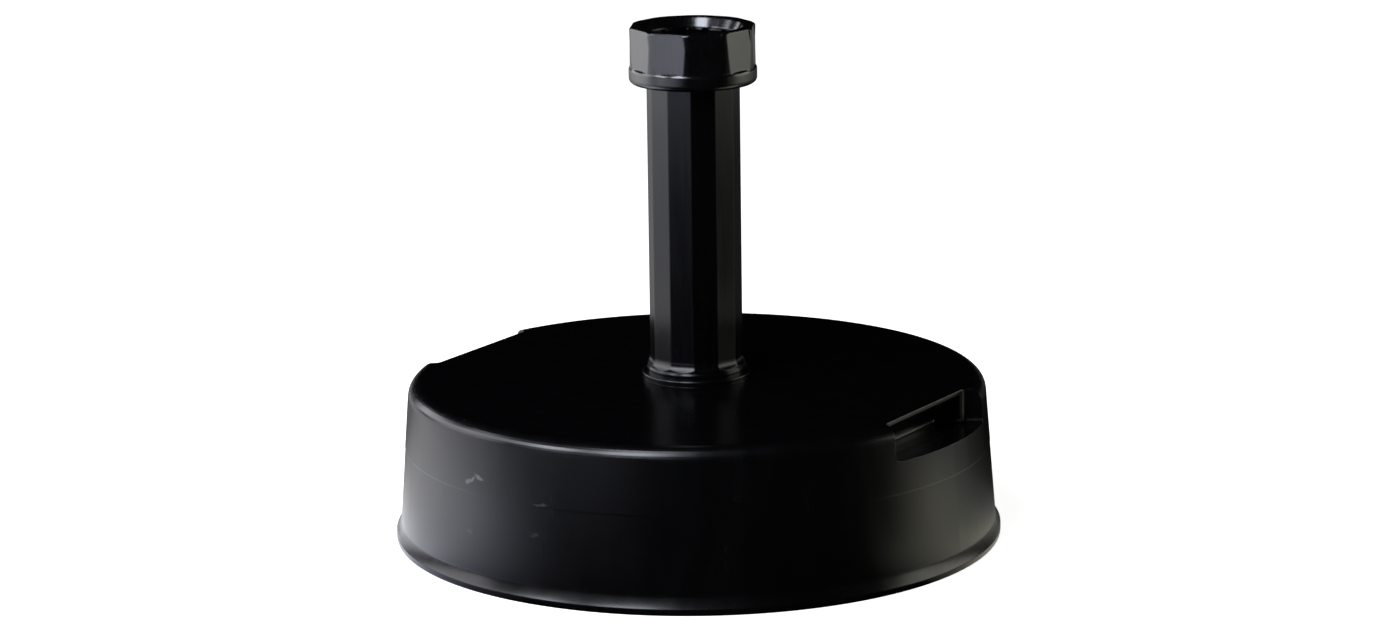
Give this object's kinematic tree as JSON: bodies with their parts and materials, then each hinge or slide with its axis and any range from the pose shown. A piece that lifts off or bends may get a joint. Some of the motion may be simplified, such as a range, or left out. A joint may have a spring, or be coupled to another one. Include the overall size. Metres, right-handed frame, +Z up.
{
  "type": "concrete-filled post base",
  "caption": "Round concrete-filled stand in a moulded plastic shell, with grip recesses and an upright faceted tube whose screw-down nut clamps a post.",
  "frame": {"origin": "centre of the underside, on the floor and on the tube's axis", "axes": "+Z up along the tube; +X through one grip recess, -X through the other"},
  "size_m": [0.4499, 0.45, 0.381],
  "materials": {
    "shell_plastic": "semi-gloss black polyethylene, as moulded",
    "concrete": "rough cast concrete",
    "tube_plastic": "semi-gloss black polypropylene, as moulded",
    "nut_plastic": "satin black polyamide, as moulded"
  },
  "bodies": {
    "base": {"shell": "shell_plastic", "concrete_fill": "concrete", "post_tube": "tube_plastic"},
    "nut": {"clamp_nut": "nut_plastic"}
  },
  "joints": [
    {"name": "nut_turn", "type": "hinge", "parent": "base", "child": "nut", "pos_m": [0, 0, 0.36], "axis": [0, 0, 1], "range_deg": [-240, 120]}
  ]
}
